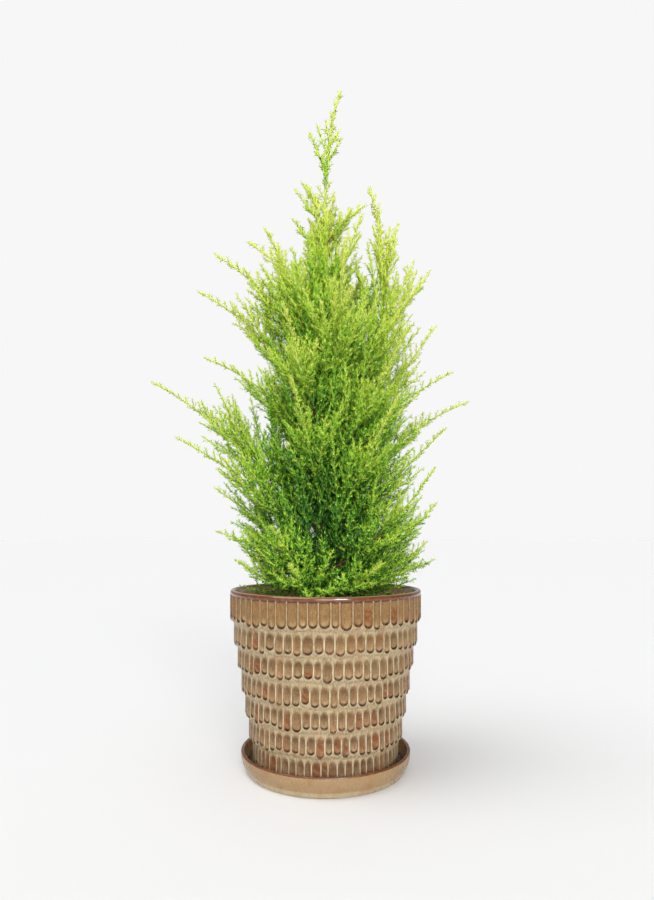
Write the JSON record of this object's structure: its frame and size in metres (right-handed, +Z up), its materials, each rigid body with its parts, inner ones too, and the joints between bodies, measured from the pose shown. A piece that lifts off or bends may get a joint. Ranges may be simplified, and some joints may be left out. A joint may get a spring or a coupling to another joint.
{
  "type": "potted golden monterey cypress",
  "caption": "Young golden cypress with a pointed, feathery crown on a slender trunk, growing in a ribbed round glazed pot that stands in its saucer.",
  "frame": {"origin": "middle of the saucer's flat underside", "axes": "+Z up along the pot's axis towards the leading shoot, -Y towards the front, +X to the right seen from the front"},
  "size_m": [0.264, 0.1814, 0.5382],
  "materials": {
    "tan_glaze": "gloss",
    "potting_soil": "matte",
    "bark": "matte",
    "golden_needles": "satin"
  },
  "bodies": {
    "root": {"bough_back_6": "bark", "bough_front_4": "bark", "bough_front_6": "bark", "bough_left_2": "bark", "bough_left_3": "bark", "bough_left_5": "bark", "bough_left_6": "bark", "bough_right_2": "bark", "bough_right_3": "bark", "bough_right_4": "bark", "bough_right_5": "bark", "bough_second_leader": "bark", "foliage_back_1": "golden_needles", "foliage_back_2": "golden_needles", "foliage_back_3": "golden_needles", "foliage_back_4": "golden_needles", "foliage_back_5": "golden_needles", "foliage_back_6": "golden_needles", "foliage_back_7": "golden_needles", "foliage_front_1": "golden_needles", "foliage_front_2": "golden_needles", "foliage_front_3": "golden_needles", "foliage_front_4": "golden_needles", "foliage_front_5": "golden_needles", "foliage_front_6": "golden_needles", "foliage_front_7": "golden_needles", "foliage_leader": "golden_needles", "foliage_left_1": "golden_needles", "foliage_left_2": "golden_needles", "foliage_left_3": "golden_needles", "foliage_left_4": "golden_needles", "foliage_left_5": "golden_needles", "foliage_left_6": "golden_needles", "foliage_left_7": "golden_needles", "foliage_left_8": "golden_needles", "foliage_low_1": "golden_needles", "foliage_low_2": "golden_needles", "foliage_low_3": "golden_needles", "foliage_low_4": "golden_needles", "foliage_low_5": "golden_needles", "foliage_low_6": "golden_needles", "foliage_low_7": "golden_needles", "foliage_right_1": "golden_needles", "foliage_right_2": "golden_needles", "foliage_right_3": "golden_needles", "foliage_right_4": "golden_needles", "foliage_right_5": "golden_needles", "foliage_right_6": "golden_needles", "foliage_right_7": "golden_needles", "foliage_right_8": "golden_needles", "foliage_second_leader": "golden_needles", "foliage_top_back": "golden_needles", "foliage_top_front": "golden_needles", "foliage_top_left": "golden_needles", "foliage_top_right": "golden_needles", "foliage_upper_front": "golden_needles", "pot": "tan_glaze", "saucer": "tan_glaze", "soil": "potting_soil", "trunk": "bark"}
  },
  "joints": []
}
